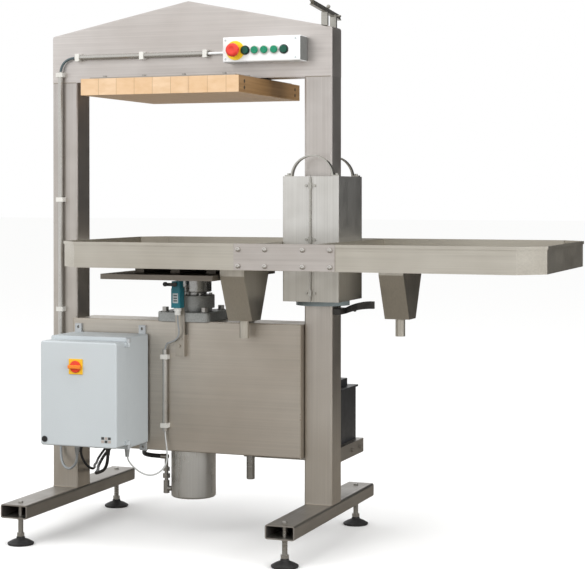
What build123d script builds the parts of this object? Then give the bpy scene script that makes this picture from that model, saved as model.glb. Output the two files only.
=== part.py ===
from build123d import *
import os
from math import pi, radians, tan

# Twin-tub cloth press for fruit: a gabled stainless frame with a hydraulic ram under a
# fixed wooden top board. Two juice tubs share a sleeve that slides and turns on the
# right column, so that one tub is packed while the other stands over the ram.
# Millimetres, +Z up, -Y is the operator's side. The origin is on the floor, under the
# middle of the whole machine's box.

os.makedirs("parts", exist_ok=True)

# Fits
move_gap = 0.3  # between faces that pass each other
turn_fit = 0.08  # radial, of a pin or screw that turns in its hole

# Frame
frame_width = 950
column_size = 90
column_wall = 4
column_round = 8
rail_underside = 85.5
rail_height = 42
rail_length = 745
rail_wall = 4
opening_top = 1423
shoulder_height = 1572
peak_height = 1668
beam_bottom = 269
beam_top = 673
beam_lip = 5  # of the beam's top plate in front of and behind the barrel
beam_plate = 4

# Levelling feet
pad_radius = 40
pad_height = 24
stem_radius = 7.5
foot_front = -330
foot_rear = 322

# Top board
board_size = 520
board_thick = 50
front_staves = 6
side_staves = 3
side_block = 160
fixing_plate = 5

# Ram
barrel_radius = 70
barrel_wall = 10
barrel_bottom = 120
flange_size = 176
flange_thick = 30
gland_radius = 66.5
gland_top = 753
rod_radius = 42
collar_radius = 57
collar_bottom = 762
platen_top = 826
platen_thick = 16
platen_left = 195
platen_depth = 520
guide_radius = 13
guide_place = (185, 20)
guide_bottom = 181

# Tubs, hoppers and sleeve
tub_reach = 745
tub_half_depth = 341
tub_corner = 72
tub_base = 848
rim_height = 925
sheet = 3
hem_height = 9
hopper_place = (211, 115)
hopper_width = 78
hopper_length = 200
hopper_foot = 70
hopper_lip = 823
hopper_bottom = 686
hopper_pass = 5  # between the left hopper and the platen
spout_radius = 15
spout_tip = 632
sleeve_side = 17  # from the bearing to the sleeve's side walls
sleeve_depth = 225
sleeve_bottom = 746
sleeve_top = 1121
bearing_cover = 27  # of the round bearing over the column's faces
disc_lip = 9.5
disc_thick = 15
splice_half = 154
splice_bolts_x = (57.5, 140)
splice_bolts_z = (861, 909)

# Control gear
pipe_radius = 8
cabinet_left = -377
cabinet_right = -119
cabinet_bottom = 293
cabinet_top = 632
ear_depth = 8  # the cabinet's ears hold it off the beam
cabinet_depth = 150
cabinet_wall = 2.5
front_return = 10
door_depth = 69
door_bottom = 303
door_top = 621
isolator_place = (-255, 546)
station_left = 145
station_right = 394
station_bottom = 1468
station_top = 1544
station_front = -106
button_z = 1503
button_xs = (218, 249, 280, 312, 343)
estop_x = 186
button_radius = 11
station_wall = 3
bezel_thick = 3

# Hydraulic power unit behind the right column
shelf_bottom = 240
tank_bottom = 284
tank_top = 450
unit_left = 150
unit_right = 440
unit_back = 300
unit_front = 140
tank_left = 250
motor_radius = 62

# Derived places
column_x = (frame_width - column_size) / 2
mid_x = -(column_x + tub_reach - frame_width / 2) / 2
pivot_x = mid_x + column_x
opening_half = frame_width / 2 - column_size
column_foot = rail_underside + rail_height
column_face = column_size / 2
beam_face = barrel_radius + beam_lip
bearing_radius = column_face + bearing_cover
disc_radius = bearing_radius + disc_lip
sleeve_width = 2 * (bearing_radius + sleeve_side)
platen_right = column_x - hopper_place[0] - hopper_width / 2 - hopper_pass
cabinet_back = -beam_face - ear_depth
cabinet_front = cabinet_back - cabinet_depth
door_front = cabinet_front - door_depth
head_top = beam_top + flange_thick
board_bottom = opening_top - fixing_plate - board_thick
pipe_y = -column_face - 3 - pipe_radius


def block(x, y, z, mode=Mode.ADD):
    """Adds a box between the low and high limits in x, y and z to the open part."""
    with Locations(((x[0] + x[1]) / 2, (y[0] + y[1]) / 2, (z[0] + z[1]) / 2)):
        return Box(x[1] - x[0], y[1] - y[0], z[1] - z[0], mode=mode)


def post(place, radius, z, mode=Mode.ADD):
    """Adds an upright cylinder between two heights to the open part."""
    with Locations((place[0], place[1], (z[0] + z[1]) / 2)):
        return Cylinder(radius, z[1] - z[0], mode=mode)


def across(place, radius, y, mode=Mode.ADD):
    """Adds a cylinder along Y at place, which is (x, z), to the open part."""
    with Locations(Location((place[0], (y[0] + y[1]) / 2, place[1]), (90, 0, 0))):
        return Cylinder(radius, y[1] - y[0], mode=mode)


def along(place, radius, x, mode=Mode.ADD):
    """Adds a cylinder along X at place, which is (y, z), to the open part."""
    with Locations(Location(((x[0] + x[1]) / 2, place[0], place[1]), (0, 90, 0))):
        return Cylinder(radius, x[1] - x[0], mode=mode)


def hex_head(place, width, z):
    """Adds a hexagon head, width across flats, between two heights."""
    with BuildSketch(Plane.XY.offset(z[0])) as head:
        with Locations(place):
            RegularPolygon(width / 2, 6, major_radius=False)
    extrude(head.sketch, amount=z[1] - z[0])


# --- Welded frame -----------------------------------------------------------------
for name, x in (("left_column", mid_x - column_x), ("right_column", pivot_x)):
    with BuildPart() as column:
        with BuildSketch(Plane.XY.offset(column_foot)):
            with Locations((x, 0)):
                RectangleRounded(column_size, column_size, column_round)
                inside = column_size - 2 * column_wall
                Rectangle(inside, inside, mode=Mode.SUBTRACT)
        extrude(amount=opening_top - column_foot)
    column.part.label = name
    export_step(column.part, f"parts/{name}.step")

for name, x in (("left_foot_rail", mid_x - column_x), ("right_foot_rail", pivot_x)):
    with BuildPart() as rail:
        with BuildSketch(Plane.XZ):
            with Locations((x, rail_underside + rail_height / 2)):
                RectangleRounded(column_size, rail_height, 7)
                RectangleRounded(
                    column_size - 2 * rail_wall,
                    rail_height - 2 * rail_wall,
                    7 - rail_wall,
                    mode=Mode.SUBTRACT,
                )
        extrude(amount=rail_length / 2, both=True)
        for y in (foot_front, foot_rear):
            hole = stem_radius + turn_fit
            post((x, y), hole, (rail_underside, column_foot), Mode.SUBTRACT)
    rail.part.label = name
    export_step(rail.part, f"parts/{name}.step")

gable_outline = (
    (mid_x - frame_width / 2, opening_top),
    (mid_x + frame_width / 2, opening_top),
    (mid_x + frame_width / 2, shoulder_height),
    (mid_x, peak_height),
    (mid_x - frame_width / 2, shoulder_height),
)
with BuildPart() as crown_gable:
    with BuildSketch(Plane.XZ):
        with BuildLine():
            Polyline(*gable_outline, close=True)
        make_face()
    extrude(amount=column_face, both=True)
    corners = crown_gable.edges().filter_by(Axis.Y)
    fillet(corners.filter_by(lambda e: e.center().Z > opening_top + 1), radius=column_round)
    rims = crown_gable.faces().filter_by(Axis.Y).edges()
    fillet(rims.filter_by(lambda e: e.center().Z > opening_top + 1), radius=column_round - 2)
    with BuildSketch(Plane.XZ):
        with BuildLine():
            Polyline(*gable_outline, close=True)
        make_face()
        offset(amount=-column_wall - 2, mode=Mode.REPLACE)
    extrude(amount=column_face - column_wall, both=True, mode=Mode.SUBTRACT)
crown_gable.part.label = "crown_gable"
export_step(crown_gable.part, "parts/crown_gable.step")

guide_xy = (mid_x + guide_place[0], guide_place[1])
with BuildPart() as crossbeam:
    beam_x = (mid_x - opening_half, mid_x + opening_half)
    block(beam_x, (-beam_face, beam_face), (beam_bottom, beam_top))
    fillet(crossbeam.edges().filter_by(Axis.X), radius=3)
    block(
        (beam_x[0] + beam_plate, beam_x[1] - beam_plate),
        (-beam_face + beam_plate, beam_face - beam_plate),
        (beam_bottom + beam_plate, beam_top - beam_plate),
        Mode.SUBTRACT,
    )
    post((mid_x, 0), barrel_radius + move_gap, (beam_bottom, beam_top), Mode.SUBTRACT)
    post(guide_xy, guide_radius + move_gap, (beam_bottom, beam_top), Mode.SUBTRACT)
crossbeam.part.label = "crossbeam"
export_step(crossbeam.part, "parts/crossbeam.step")

# --- Levelling feet: a rubber pad that takes the ball end of a screw in the rail ---
foot_places = {
    "front_left": (mid_x - column_x, foot_front),
    "front_right": (pivot_x, foot_front),
    "rear_left": (mid_x - column_x, foot_rear),
    "rear_right": (pivot_x, foot_rear),
}
socket_floor = 8
socket_radius = stem_radius + turn_fit
with BuildPart() as foot_pads:
    for x, y in foot_places.values():
        with BuildSketch(Plane((x, y, 0), x_dir=(1, 0, 0), z_dir=(0, -1, 0))):
            with BuildLine():
                Polyline(
                    (0, 0),
                    (pad_radius - 2, 0),
                    (pad_radius, 3),
                    (pad_radius, 6),
                    (pad_radius * 0.7, 13),
                    (stem_radius + 6, 19),
                    (stem_radius + 5, pad_height),
                    (socket_radius, pad_height),
                    (socket_radius, socket_floor),
                    (0, socket_floor),
                    close=True,
                )
            make_face()
        revolve(axis=Axis((x, y, 0), (0, 0, 1)))
foot_pads.part.label = "foot_pads"
export_step(foot_pads.part, "parts/foot_pads.step")

stem_nut = 22
for name, place in foot_places.items():
    with BuildPart() as stem:
        post(place, stem_radius, (socket_floor + move_gap, column_foot + 5))
        chamfer(stem.edges().sort_by(Axis.Z)[-1], length=1.5)
        hex_head(place, stem_nut, (pad_height + 2, pad_height + 12))
        hex_head(place, stem_nut, (rail_underside - 8, rail_underside - move_gap))
    stem.part.label = f"foot_stem_{name}"
    export_step(stem.part, f"parts/foot_stem_{name}.step")

# --- Cloth-frame hanger on top of the right column --------------------------------
hanger_x = pivot_x + 20
lug_y = (-40, 40)
hanger_foot = shoulder_height + (peak_height - shoulder_height) * 25 / (frame_width / 2)
bar_low, bar_high = 1612, 1634
with BuildPart() as cloth_hanger:
    for y in lug_y:
        block((hanger_x - 10, hanger_x + 10), (y - 5, y + 5), (hanger_foot - 1, bar_low + 4))
    with BuildSketch(Plane.YZ.offset(hanger_x)):
        with BuildLine():
            Polyline(
                (-162, bar_high + 6),
                (-150, bar_high - 1),
                (-162, bar_high - 8),
                (98, bar_low - 8),
                (88, bar_low - 1),
                (98, bar_low + 6),
                close=True,
            )
        make_face()
    extrude(amount=6, both=True)
    post((hanger_x, -8), 3, (bar_low + 5, bar_low + 22))
    with Locations((hanger_x, -8, bar_low + 24)):
        Sphere(6)
    along((62, bar_low + 2), 3, (hanger_x, hanger_x + 16))
    # The lugs stand on the sloping top of the gable.
    with BuildSketch(Plane.XZ):
        with BuildLine():
            Polyline(*gable_outline, close=True)
        make_face()
    extrude(amount=column_face, both=True, mode=Mode.SUBTRACT)
cloth_hanger.part.label = "cloth_hanger"
export_step(cloth_hanger.part, "parts/cloth_hanger.step")

# --- Top board: glued staves under a bolted steel plate ---------------------------
half_board = board_size / 2
stave_widths = [(board_size - side_block) / front_staves] * front_staves
stave_widths += [side_block / side_staves] * side_staves
stave_x = mid_x - half_board
staves = []
for number, width in enumerate(stave_widths):
    step = 2 if number >= front_staves else 0
    with BuildPart() as stave:
        block(
            (stave_x, stave_x + width),
            (-half_board - step, half_board - step),
            (board_bottom, board_bottom + board_thick),
        )
        chamfer(stave.edges().filter_by(Axis.Y), length=0.8)
    staves.append(stave.part.solid())
    stave_x += width
top_board = Compound(staves)
top_board.label = "top_board"
export_step(top_board, "parts/top_board.step")

plate_half = half_board - 20
bolt_inset = 45
with BuildPart() as board_plate:
    plate_x = (mid_x - plate_half, mid_x + plate_half)
    plate_z = (opening_top - fixing_plate, opening_top)
    block(plate_x, (-plate_half, plate_half), plate_z)
    for x in (-0.9, -0.3, 0.3, 0.9):
        for y in (-1, 1):
            place = (mid_x + x * (plate_half - 20), y * (plate_half - 20))
            hex_head(place, 13, (opening_top, opening_top + 6))
    for x in (-1, 1):
        for y in (-bolt_inset * 2, bolt_inset * 2):
            hex_head((mid_x + x * (plate_half - 20), y), 13, (opening_top, opening_top + 6))
board_plate.part.label = "board_plate"
export_step(board_plate.part, "parts/board_plate.step")

# --- Hydraulic cylinder, fixed in the crossbeam -----------------------------------
with BuildPart() as cylinder_barrel:
    post((mid_x, 0), barrel_radius, (barrel_bottom, beam_top))
    fillet(cylinder_barrel.edges().sort_by(Axis.Z)[0], radius=6)
    bore = barrel_radius - barrel_wall
    post((mid_x, 0), bore, (barrel_bottom + barrel_wall, beam_top), Mode.SUBTRACT)
cylinder_barrel.part.label = "cylinder_barrel"
export_step(cylinder_barrel.part, "parts/cylinder_barrel.step")

gland_neck = 9
with BuildPart() as cylinder_head:
    half = flange_size / 2
    block((mid_x - half, mid_x + half), (-half, half), (beam_top, head_top))
    fillet(cylinder_head.edges().filter_by(Axis.Z), radius=20)
    fillet(cylinder_head.faces().sort_by(Axis.Z)[-1].edges(), radius=4)
    post((mid_x, 0), gland_radius - 8, (head_top, head_top + gland_neck))
    post((mid_x, 0), gland_radius, (head_top + gland_neck, gland_top))
    fillet(cylinder_head.edges().sort_by(Axis.Z)[-1], radius=3)
    post((mid_x, 0), rod_radius + move_gap, (beam_top, gland_top), Mode.SUBTRACT)
cylinder_head.part.label = "cylinder_head"
export_step(cylinder_head.part, "parts/cylinder_head.step")

corner_bolt = flange_size / 2 - 22
with BuildPart() as cylinder_bolts:
    for x in (-corner_bolt, corner_bolt):
        for y in (-corner_bolt, corner_bolt):
            post((mid_x + x, y), 13, (head_top, head_top + 2))
            hex_head((mid_x + x, y), 19, (head_top + 2, head_top + 14))
    for spot in PolarLocations(gland_radius - 12, 6, start_angle=15).locations:
        place = (mid_x + spot.position.X, spot.position.Y)
        post(place, 5, (gland_top, collar_bottom - 3))
cylinder_bolts.part.label = "cylinder_bolts"
export_step(cylinder_bolts.part, "parts/cylinder_bolts.step")

port_x = mid_x - barrel_radius - 19
port_y = -10
port_z = (125, 240)
with BuildPart() as port_fitting:
    post((port_x, port_y), 9.5, (port_z[0], port_z[0] + 40))
    post((port_x, port_y), 6, (port_z[0] + 40, port_z[1]))
    hex_head((port_x, port_y), 22, (port_z[0] + 48, port_z[0] + 62))
    hex_head((port_x, port_y), 20, (port_z[0] + 70, port_z[0] + 82))
    with Locations((port_x, port_y, port_z[1])):
        Sphere(9)
    along((port_y, port_z[1]), 8, (port_x - 18, port_x))
    along((port_y, port_z[0] + 15), 8, (port_x, mid_x - barrel_radius - move_gap))
port_fitting.part.label = "port_fitting"
export_step(port_fitting.part, "parts/port_fitting.step")

# --- Ram: rod, collar, lower platen and guide rod ---------------------------------
platen_bottom = platen_top - platen_thick
with BuildPart() as ram_rod:
    piston_z = (barrel_bottom + barrel_wall + 20, barrel_bottom + barrel_wall + 60)
    post((mid_x, 0), rod_radius, (piston_z[0], platen_bottom))
    post((mid_x, 0), barrel_radius - barrel_wall - move_gap, piston_z)
    post((mid_x, 0), collar_radius, (collar_bottom, platen_bottom))
    rings = ram_rod.edges().filter_by(GeomType.CIRCLE)
    collar_rings = rings.filter_by(lambda e: abs(e.radius - collar_radius) < 0.01)
    fillet(collar_rings.sort_by(Axis.Z)[0], radius=3)
ram_rod.part.label = "ram_rod"
export_step(ram_rod.part, "parts/ram_rod.step")

bearer_half = 140
lug_reach = guide_place[0] + guide_radius + 8
with BuildPart() as lower_platen:
    platen_x = (mid_x - platen_left, mid_x + platen_right)
    block(platen_x, (-platen_depth / 2, platen_depth / 2), (platen_bottom, platen_top))
    chamfer(lower_platen.edges().filter_by(Axis.Z), length=2)
    for x in (-120, 0, 120):
        block(
            (mid_x + x - 15, mid_x + x + 15),
            (-bearer_half, bearer_half),
            (platen_top, tub_base - move_gap),
        )
    block(
        (mid_x + 110, mid_x + lug_reach),
        (guide_place[1] - 21, guide_place[1] + 21),
        (platen_bottom - 12, platen_bottom),
    )
lower_platen.part.label = "lower_platen"
export_step(lower_platen.part, "parts/lower_platen.step")

with BuildPart() as guide_rod:
    post(guide_xy, guide_radius, (guide_bottom, platen_bottom - 12))
    chamfer(guide_rod.edges().sort_by(Axis.Z)[0], length=2)
guide_rod.part.label = "guide_rod"
export_step(guide_rod.part, "parts/guide_rod.step")

# --- Carriage that slides on the right column, and the sleeve that turns on it ----
slide_half = column_size / 2 + move_gap
end_plate = 5
with BuildPart() as column_carriage:
    post((pivot_x, 0), bearing_radius, (sleeve_bottom - move_gap, sleeve_top - 11))
    disc_z = (sleeve_bottom - disc_thick, sleeve_bottom - move_gap)
    post((pivot_x, 0), disc_radius, disc_z)
    slide_x = (pivot_x - slide_half, pivot_x + slide_half)
    block(slide_x, (-slide_half, slide_half), (disc_z[0], sleeve_top), Mode.SUBTRACT)
column_carriage.part.label = "column_carriage"
export_step(column_carriage.part, "parts/column_carriage.step")

sleeve_half = sleeve_width / 2
sleeve_face = sleeve_depth / 2
seam_gap = 0.5
for name, side in (("sleeve_shell_left", -1), ("sleeve_shell_right", 1)):
    with BuildPart() as shell:
        turned = Plane((pivot_x, 0, sleeve_bottom), x_dir=(side, 0, 0), z_dir=(0, 0, 1))
        with BuildSketch(turned):
            with Locations(((sleeve_half + seam_gap) / 2, 0)):
                Rectangle(sleeve_half - seam_gap, sleeve_depth)
        extrude(amount=sleeve_top - sleeve_bottom)
        outer = shell.edges().filter_by(Axis.Z).sort_by(lambda e: abs(e.center().X - pivot_x))
        fillet(outer[-2:], radius=4)
        with BuildSketch(turned.offset(end_plate)):
            with Locations((sleeve_half / 2 - sheet, 0)):
                Rectangle(sleeve_half, sleeve_depth - 2 * sheet)
        extrude(amount=sleeve_top - sleeve_bottom - 2 * end_plate, mode=Mode.SUBTRACT)
        ring = bearing_radius + turn_fit
        post((pivot_x, 0), ring, (sleeve_bottom, sleeve_top), Mode.SUBTRACT)
    shell.part.label = name
    export_step(shell.part, f"parts/{name}.step")

handle_half = 68
handle_rise = 64
handle_strap = 18
strap_thick = 4
handle_y = sleeve_face - 20
seam_rod_y = -sleeve_face - 5
with BuildPart() as sleeve_fittings:
    for y in (-handle_y, handle_y):
        with BuildSketch(Plane.XZ.offset(-y)):
            with BuildLine():
                ThreePointArc(
                    (pivot_x - handle_half, sleeve_top),
                    (pivot_x, sleeve_top + handle_rise),
                    (pivot_x + handle_half, sleeve_top),
                )
                Line(
                    (pivot_x + handle_half, sleeve_top),
                    (pivot_x + handle_half - strap_thick * 1.2, sleeve_top),
                )
                ThreePointArc(
                    (pivot_x + handle_half - strap_thick * 1.2, sleeve_top),
                    (pivot_x, sleeve_top + handle_rise - strap_thick),
                    (pivot_x - handle_half + strap_thick * 1.2, sleeve_top),
                )
                Line(
                    (pivot_x - handle_half + strap_thick * 1.2, sleeve_top),
                    (pivot_x - handle_half, sleeve_top),
                )
            make_face()
        extrude(amount=handle_strap / 2, both=True)
        for x in (-handle_half - 8, handle_half + 8):
            foot_x = (pivot_x + x - 10, pivot_x + x + 10)
            block(foot_x, (y - 9, y + 9), (sleeve_top, sleeve_top + strap_thick))
            post((pivot_x + x, y), 5, (sleeve_top + strap_thick, sleeve_top + 9))
    post((pivot_x, seam_rod_y), 3, (sleeve_bottom + 4, sleeve_top - 2))
    for z in (772, 932, 1093):
        block((pivot_x - 5, pivot_x + 5), (seam_rod_y - 3, -sleeve_face), (z - 9, z + 9))
        for x in (-13, 13):
            across((pivot_x + x, z), 4, (-sleeve_face - 4, -sleeve_face))
sleeve_fittings.part.label = "sleeve_fittings"
export_step(sleeve_fittings.part, "parts/sleeve_fittings.step")

# --- Tubs: folded trays with a hem, a slot over the hopper and tabs to the splice --
hem = sheet
wall_reach = tub_reach - hem
wall_depth = tub_half_depth - hem
drain_slot = (hopper_width - 2 * sheet, hopper_length - 2 * sheet)


def tray_outline(reach, depth, inner):
    """The tub's plan outside a wall that stands at reach, depth and inner."""
    corner = tub_corner - 0.6 * (tub_reach - reach)
    with BuildLine() as outline:
        Polyline(
            (inner, -depth),
            (reach - corner, -depth),
            (reach, -depth + corner),
            (reach, depth - corner),
            (reach - corner, depth),
            (inner, depth),
            close=True,
        )
    return make_face(outline.line)


for name, side in (("tub_left", -1), ("tub_right", 1)):
    turned = Plane((pivot_x, 0, tub_base), x_dir=(side, 0, 0), z_dir=(0, 0, 1))
    tub_height = rim_height - tub_base
    with BuildPart() as tub:
        with BuildSketch(turned):
            tray_outline(wall_reach, wall_depth, sleeve_half)
        extrude(amount=tub_height)
        with BuildSketch(turned.offset(tub_height - hem_height)):
            tray_outline(tub_reach, tub_half_depth, sleeve_half)
            with Locations((splice_half / 2, 0)):
                Rectangle(splice_half + 1, 3 * tub_half_depth, mode=Mode.SUBTRACT)
        extrude(amount=hem_height)
        with BuildSketch(turned.offset(sheet)):
            tray_outline(wall_reach - sheet, wall_depth - sheet, sleeve_half + sheet)
        extrude(amount=tub_height, mode=Mode.SUBTRACT)
        with BuildSketch(turned):
            with Locations(hopper_place):
                Rectangle(*drain_slot)
        extrude(amount=sheet, mode=Mode.SUBTRACT)
        with BuildSketch(turned):
            for y in (-wall_depth + sheet / 2, wall_depth - sheet / 2):
                with Locations((sleeve_half / 2 + 0.5, y)):
                    Rectangle(sleeve_half - 1, sheet)
        extrude(amount=tub_height)
    tub.part.label = name
    export_step(tub.part, f"parts/{name}.step")

for name, side in (("drain_hopper_left", -1), ("drain_hopper_right", 1)):
    hopper_x = pivot_x + side * hopper_place[0]
    hopper_y = side * hopper_place[1]
    profile = Plane((hopper_x, hopper_y, 0), x_dir=(0, side, 0), z_dir=(side, 0, 0))
    with BuildPart() as hopper:
        with BuildSketch(profile):
            with BuildLine():
                Polyline(
                    (-hopper_length / 2, tub_base),
                    (-hopper_length / 2, hopper_lip),
                    (-hopper_foot / 2, hopper_bottom),
                    (hopper_foot / 2, hopper_bottom),
                    (hopper_length / 2, hopper_lip),
                    (hopper_length / 2, tub_base),
                    close=True,
                )
            make_face()
        extrude(amount=hopper_width / 2, both=True)
        offset(amount=-sheet, openings=hopper.faces().sort_by(Axis.Z)[-1])
        spout_xy = (hopper_x, hopper_y)
        post(spout_xy, spout_radius, (spout_tip, hopper_bottom))
        bore_z = (spout_tip, hopper_bottom + sheet)
        post(spout_xy, spout_radius - 2, bore_z, Mode.SUBTRACT)
    hopper.part.label = name
    export_step(hopper.part, f"parts/{name}.step")

with BuildPart() as splice_plates:
    for y in (-1, 1):
        plate_y = sorted((y * wall_depth, y * tub_half_depth))
        splice_x = (pivot_x - splice_half, pivot_x + splice_half)
        block(splice_x, plate_y, (tub_base + 1, rim_height))
        head_y = sorted((y * tub_half_depth, y * (tub_half_depth + 4)))
        for x in splice_bolts_x:
            for z in splice_bolts_z:
                across((pivot_x - x, z), 7, head_y)
                across((pivot_x + x, z), 7, head_y)
splice_plates.part.label = "splice_plates"
export_step(splice_plates.part, "parts/splice_plates.step")

# --- Swivel stop: a block on the column's side and a curved arm --------------------
stop_x = pivot_x + column_face
stop_z = (704, 722)
arm_y = (12, 26)
with BuildPart() as swivel_stop:
    block((stop_x, stop_x + 22), (-34, 30), stop_z)
    with BuildSketch(Plane.XZ.offset(-arm_y[1])):
        with BuildLine():
            ThreePointArc((stop_x + 22, 722), (stop_x + 62, 738), (stop_x + 112, 743))
            Line((stop_x + 112, 743), (stop_x + 112, 721))
            ThreePointArc((stop_x + 112, 721), (stop_x + 62, 716), (stop_x + 22, 704))
            Line((stop_x + 22, 704), (stop_x + 22, 722))
        make_face()
    extrude(amount=arm_y[1] - arm_y[0])
    for x in (stop_x + 34, stop_x + 54):
        across((x, 716), 5, (arm_y[0] - 4, arm_y[0]))
swivel_stop.part.label = "swivel_stop"
export_step(swivel_stop.part, "parts/swivel_stop.step")

# --- Conduit pipes and their clips ------------------------------------------------
wall_pipe_x = mid_x - column_x - 9.5
wall_pipe_z = (276, 1458)
top_pipe_z = 1501.5
top_pipe_x = (wall_pipe_x + 53.5, mid_x + 75)
short_pipe_x = mid_x - 59
short_pipe_y = -beam_face - 3 - pipe_radius
short_pipe_z = (333, 586)
pipe_wall = 1.5
with BuildPart() as conduits:
    post((wall_pipe_x, pipe_y), pipe_radius, wall_pipe_z)
    along((pipe_y, top_pipe_z), pipe_radius, top_pipe_x)
    post((short_pipe_x, short_pipe_y), pipe_radius, short_pipe_z)
    for depth in (-1, 1):
        mouth = sorted((wall_pipe_z[depth > 0], wall_pipe_z[depth > 0] - depth * 12))
        post((wall_pipe_x, pipe_y), pipe_radius - pipe_wall, mouth, Mode.SUBTRACT)
        mouth = sorted((short_pipe_z[depth > 0], short_pipe_z[depth > 0] - depth * 12))
        post((short_pipe_x, short_pipe_y), pipe_radius - pipe_wall, mouth, Mode.SUBTRACT)
        mouth = sorted((top_pipe_x[depth > 0], top_pipe_x[depth > 0] - depth * 12))
        along((pipe_y, top_pipe_z), pipe_radius - pipe_wall, mouth, Mode.SUBTRACT)
conduits.part.label = "conduits"
export_step(conduits.part, "parts/conduits.step")

clip_half = pipe_radius + 4
with BuildPart() as pipe_clips:
    for z in (1448, 1050, 700):
        clip_x = (wall_pipe_x - clip_half, wall_pipe_x + clip_half)
        block(clip_x, (pipe_y - pipe_radius - 2, -column_face), (z - 7, z + 7))
        post((wall_pipe_x, pipe_y), pipe_radius + 0.05, (z - 7, z + 7), Mode.SUBTRACT)
    for x in (mid_x - 376, mid_x - 150, mid_x + 66):
        clip_z = (top_pipe_z - clip_half, top_pipe_z + clip_half)
        block((x - 7, x + 7), (pipe_y - pipe_radius - 2, -column_face), clip_z)
        along((pipe_y, top_pipe_z), pipe_radius + 0.05, (x - 7, x + 7), Mode.SUBTRACT)
    for z in (350, 563):
        clip_x = (short_pipe_x - clip_half, short_pipe_x + clip_half)
        block(clip_x, (short_pipe_y - pipe_radius - 2, -beam_face), (z - 7, z + 7))
        pipe = (short_pipe_x, short_pipe_y)
        post(pipe, pipe_radius + 0.05, (z - 7, z + 7), Mode.SUBTRACT)
pipe_clips.part.label = "pipe_clips"
export_step(pipe_clips.part, "parts/pipe_clips.step")

# --- Limit switch on its strip, with a roller lever -------------------------------
switch_x = mid_x - 5
strip_y = (-beam_face - 18, -beam_face - 14)
body_y = (strip_y[0] - 34, strip_y[0])
with BuildPart() as switch_bracket:
    block((switch_x - 15, switch_x + 15), strip_y, (566, 782))
    block((switch_x - 15, switch_x + 15), (strip_y[1], -beam_face), (566, 632))
    across((switch_x - 4, 599), 6, (strip_y[0] - 4, strip_y[0]))
    across((switch_x + 4, 620), 4, (strip_y[0] - 3, strip_y[0]))
switch_bracket.part.label = "switch_bracket"
export_step(switch_bracket.part, "parts/switch_bracket.step")

lever_pivot = (switch_x, 790)
lever_arm = 31
roller_radius = 7
pin_radius = 3
lever_y = (body_y[0] - 3 - move_gap, body_y[0] - move_gap)
with BuildPart() as limit_switch:
    block((switch_x - 15, switch_x + 15), body_y, (718, 778))
    fillet(limit_switch.edges().filter_by(Axis.Z), radius=2)
    block((switch_x - 13, switch_x + 13), (body_y[0] + 1, body_y[1] - 3), (778, 800))
    pin_hole = pin_radius + turn_fit
    across(lever_pivot, pin_hole, (body_y[0], body_y[0] + 15), Mode.SUBTRACT)
    gland_place = (switch_x, (body_y[0] + body_y[1]) / 2)
    hex_head(gland_place, 20, (708, 718))
    post(gland_place, 8, (697, 708))
limit_switch.part.label = "limit_switch"
export_step(limit_switch.part, "parts/limit_switch.step")

roller_place = (switch_x - lever_arm, lever_pivot[1] + 1)
with BuildPart() as switch_lever:
    block((switch_x - lever_arm - 5, switch_x + 6), lever_y, (lever_pivot[1] - 5, lever_pivot[1] + 5))
    across(lever_pivot, 7, (lever_y[0] - 2, lever_y[0]))
    across(lever_pivot, pin_radius, (lever_y[1], body_y[0] + 14))
    across(roller_place, pin_radius, (lever_y[0] - 8, lever_y[0]))
switch_lever.part.label = "switch_lever"
export_step(switch_lever.part, "parts/switch_lever.step")

with BuildPart() as switch_roller:
    roller_y = (lever_y[0] - 7, lever_y[0] - move_gap)
    across(roller_place, roller_radius, roller_y)
    across(roller_place, pin_radius + turn_fit, roller_y, Mode.SUBTRACT)
switch_roller.part.label = "switch_roller"
export_step(switch_roller.part, "parts/switch_roller.step")

# --- Electrical cabinet -----------------------------------------------------------
box_x = (mid_x + cabinet_left, mid_x + cabinet_right)
with BuildPart() as cabinet_body:
    block(box_x, (cabinet_front, cabinet_back), (cabinet_bottom, cabinet_top))
    fillet(cabinet_body.edges().filter_by(Axis.Y), radius=6)
    block(
        (box_x[0] + cabinet_wall, box_x[1] - cabinet_wall),
        (cabinet_front + cabinet_wall, cabinet_back - cabinet_wall),
        (cabinet_bottom + cabinet_wall, cabinet_top - cabinet_wall),
        Mode.SUBTRACT,
    )
    # The front turns inwards all round, behind the door's edge.
    block(
        (box_x[0] + front_return, box_x[1] - front_return),
        (cabinet_front, cabinet_front + cabinet_wall),
        (door_bottom + front_return, door_top - front_return),
        Mode.SUBTRACT,
    )
cabinet_body.part.label = "cabinet_body"
export_step(cabinet_body.part, "parts/cabinet_body.step")

hinge_xy = (box_x[1] + 6, cabinet_front - move_gap / 2)
hinge_pin = 2
hinge_low = (door_bottom - 8, door_bottom + 4)
hinge_high = (door_top - 4, door_top + 8)
gland_places = ((-324, -165), (-336, -120), (-262, -150), (-224, -150), (-158, -150))
with BuildPart() as cabinet_fittings:
    for x, z in ((-363, 636), (-140, 636), (-363, 289), (-137, 289)):
        ear_x = (mid_x + x - 11, mid_x + x + 11)
        block(ear_x, (cabinet_back, -beam_face), (z - 22, z + 22))
        rise = 11 if z > 500 else -11
        ear_y = (cabinet_back, -beam_face)
        across((mid_x + x, z + rise), 4.5, ear_y, Mode.SUBTRACT)
    for x, y in gland_places:
        hex_head((mid_x + x, y), 20, (cabinet_bottom - 7, cabinet_bottom))
        post((mid_x + x, y), 8, (cabinet_bottom - 15, cabinet_bottom - 7))
    for z in (hinge_low, hinge_high):
        block((box_x[1], hinge_xy[0]), (cabinet_front, cabinet_front + 20), z)
        post(hinge_xy, 5, z)
    post(hinge_xy, hinge_pin, (hinge_low[1], hinge_low[1] + 10))
    post(hinge_xy, hinge_pin, (hinge_high[0] - 10, hinge_high[0]))
cabinet_fittings.part.label = "cabinet_fittings"
export_step(cabinet_fittings.part, "parts/cabinet_fittings.step")

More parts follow.
